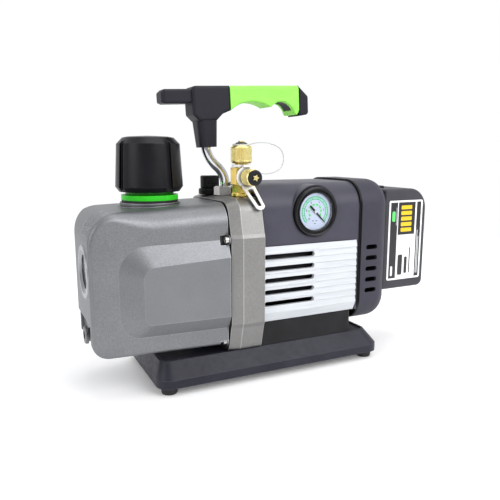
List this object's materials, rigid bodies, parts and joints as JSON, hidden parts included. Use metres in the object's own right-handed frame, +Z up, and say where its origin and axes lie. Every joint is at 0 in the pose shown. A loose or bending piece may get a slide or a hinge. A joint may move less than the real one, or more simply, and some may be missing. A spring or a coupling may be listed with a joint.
{
  "type": "hvac vacuum pump",
  "caption": "Cordless two-stage rotary-vane vacuum pump with oil tank, gauge, flare inlet valve, carry handle and slide-on battery.",
  "frame": {"origin": "on the floor under the middle of the whole pump", "axes": "+X from the oil tank to the battery, -Y the gauge side, +Z up"},
  "size_m": [0.402, 0.128, 0.3008],
  "materials": {
    "base_tray": "dark grey powder coat",
    "rubber_feet": "black rubber",
    "base_screws": "zinc-plated steel",
    "motor_riser": "black powder coat",
    "oil_tank": "speckled die-cast aluminium, lightly bead blasted",
    "tank_gasket": "black nitrile",
    "tank_screws": "bright zinc-plated steel",
    "sight_ring": "turned aluminium",
    "sight_lens": "clear glass",
    "drain_plug": "plated steel",
    "neck_gasket": "black nitrile",
    "exhaust_neck": "bright green nylon",
    "mist_filter": "sintered fibre filter",
    "exhaust_cap": "fine-grained black moulded plastic",
    "flange_cover": "as-cast aluminium, warmer grey",
    "pump_housing": "as-cast aluminium, warmer grey",
    "stator_rings": "ground cast iron",
    "stator_plates": "ground cast iron",
    "pump_rotors": "ground steel",
    "rotor_vanes": "brown phenolic composite",
    "pump_shaft": "ground steel",
    "shaft_bush": "oil-soaked bronze",
    "shaft_seal": "nitrile lip seal",
    "reed_valve": "blue spring steel",
    "coupling_hubs": "machined aluminium",
    "coupling_spider": "red polyurethane",
    "motor_shaft": "ground steel",
    "motor_armature": "laminated steel",
    "motor_can": "black-coated steel",
    "motor_windings": "enamelled copper",
    "cooling_fan": "fine-grained black moulded plastic",
    "motor_shroud": "fine-grained dark blue-grey moulded plastic",
    "fin_panel_front": "clear-anodised extruded aluminium",
    "fin_panel_back": "clear-anodised extruded aluminium",
    "gauge_case": "black case with a satin rim",
    "gauge_dial": "white dial with a green scale",
    "gauge_pointer": "black pointer",
    "gauge_lens": "clear lens",
    "rear_cover": "fine-grained dark blue-grey moulded plastic",
    "power_switch": "black rocker",
    "battery_dock": "fine-grained black moulded plastic",
    "dock_terminals": "tinned brass",
    "battery_case": "fine-grained dark blue-grey moulded plastic",
    "battery_label": "printed film with plain colour blocks",
    "battery_button": "black moulded plastic",
    "battery_cells": "wrapped steel cells",
    "valve_body": "bright machined brass",
    "top_cap": "knurled brass",
    "top_cap_button": "black moulded button with a brass rivet",
    "side_cap": "knurled brass",
    "side_cap_button": "black moulded disc with a brass rivet",
    "cap_strap": "white flexible nylon",
    "cap_tether": "clear nylon filament",
    "ballast_base": "fine-grained black moulded plastic",
    "ballast_knob": "fine-grained black moulded plastic",
    "handle_tube": "bright chrome plating",
    "handle_nut": "bright nickel plating",
    "handle_core": "black glass-filled nylon",
    "handle_grip": "lime soft-touch rubber",
    "handle_end": "black glass-filled nylon"
  },
  "bodies": {
    "housing": {"base_tray": "base_tray", "rubber_feet": "rubber_feet", "base_screws": "base_screws", "motor_riser": "motor_riser", "oil_tank": "oil_tank", "tank_gasket": "tank_gasket", "tank_screws": "tank_screws", "sight_ring": "sight_ring", "sight_lens": "sight_lens", "neck_gasket": "neck_gasket", "exhaust_neck": "exhaust_neck", "flange_cover": "flange_cover", "pump_housing": "pump_housing", "stator_rings": "stator_rings", "stator_plates": "stator_plates", "shaft_bush": "shaft_bush", "shaft_seal": "shaft_seal", "reed_valve": "reed_valve", "motor_can": "motor_can", "motor_windings": "motor_windings", "motor_shroud": "motor_shroud", "fin_panel_front": "fin_panel_front", "fin_panel_back": "fin_panel_back", "gauge_case": "gauge_case", "gauge_dial": "gauge_dial", "gauge_lens": "gauge_lens", "rear_cover": "rear_cover", "battery_dock": "battery_dock", "dock_terminals": "dock_terminals", "valve_body": "valve_body", "cap_strap": "cap_strap", "cap_tether": "cap_tether", "ballast_base": "ballast_base", "handle_tube": "handle_tube", "handle_nut": "handle_nut", "handle_core": "handle_core", "handle_grip": "handle_grip", "handle_end": "handle_end"},
    "filter": {"mist_filter": "mist_filter"},
    "exhaust_cap": {"exhaust_cap": "exhaust_cap"},
    "drain_plug": {"drain_plug": "drain_plug"},
    "rotor": {"pump_shaft": "pump_shaft", "pump_rotors": "pump_rotors", "rotor_vanes": "rotor_vanes", "coupling_hubs": "coupling_hubs", "coupling_spider": "coupling_spider", "motor_shaft": "motor_shaft", "motor_armature": "motor_armature", "cooling_fan": "cooling_fan"},
    "pointer": {"gauge_pointer": "gauge_pointer"},
    "switch": {"power_switch": "power_switch"},
    "battery": {"battery_case": "battery_case", "battery_label": "battery_label", "battery_cells": "battery_cells"},
    "battery_button": {"battery_button": "battery_button"},
    "top_cap": {"top_cap": "top_cap", "top_cap_button": "top_cap_button"},
    "side_cap": {"side_cap": "side_cap", "side_cap_button": "side_cap_button"},
    "ballast_knob": {"ballast_knob": "ballast_knob"}
  },
  "joints": [
    {"name": "shaft_spin", "type": "hinge", "parent": "housing", "child": "rotor", "pos_m": [0, 0, 0.11], "axis": [1, 0, 0], "continuous": true},
    {"name": "exhaust_cap_lift", "type": "slide", "parent": "housing", "child": "filter", "axis": [0, 0, 1], "range_m": [0, 0.012]},
    {"name": "exhaust_cap_turn", "type": "hinge", "parent": "filter", "child": "exhaust_cap", "pos_m": [-0.1264, 0, 0.218], "axis": [0, 0, 1], "range_deg": [0, 1080]},
    {"name": "drain_plug_turn", "type": "hinge", "parent": "housing", "child": "drain_plug", "pos_m": [-0.191, -0.03, 0.063], "axis": [-1, 0, 0], "range_deg": [0, 1440]},
    {"name": "gauge_pointer_turn", "type": "hinge", "parent": "housing", "child": "pointer", "pos_m": [0.033, -0.0588, 0.1697], "axis": [0, -1, 0], "range_deg": [0, 270], "stiffness_Nm_per_rad": 0.00005},
    {"name": "power_switch_rock", "type": "hinge", "parent": "housing", "child": "switch", "pos_m": [0.104, 0.054, 0.157], "axis": [0, 0, -1], "range_deg": [0, 16]},
    {"name": "battery_slide", "type": "slide", "parent": "housing", "child": "battery", "axis": [0, 0, 1], "range_m": [0, 0.082]},
    {"name": "battery_button_press", "type": "slide", "parent": "battery", "child": "battery_button", "axis": [0, 0, -1], "range_m": [0, 0.003], "stiffness_N_per_m": 400},
    {"name": "top_cap_turn", "type": "hinge", "parent": "housing", "child": "top_cap", "pos_m": [-0.0392, -0.029, 0.228], "axis": [0, 0, 1], "range_deg": [0, 1440]},
    {"name": "side_cap_turn", "type": "hinge", "parent": "housing", "child": "side_cap", "pos_m": [-0.0392, -0.05, 0.206], "axis": [0, -1, 0], "range_deg": [0, 1440]},
    {"name": "gas_ballast_turn", "type": "hinge", "parent": "housing", "child": "ballast_knob", "pos_m": [-0.053, 0.023, 0.198], "axis": [0, 0, 1], "range_deg": [0, 180]}
  ],
  "couplings": [
    {"joint": "exhaust_cap_lift", "follows": "exhaust_cap_turn", "m_per_rad": 0.00063662}
  ]
}
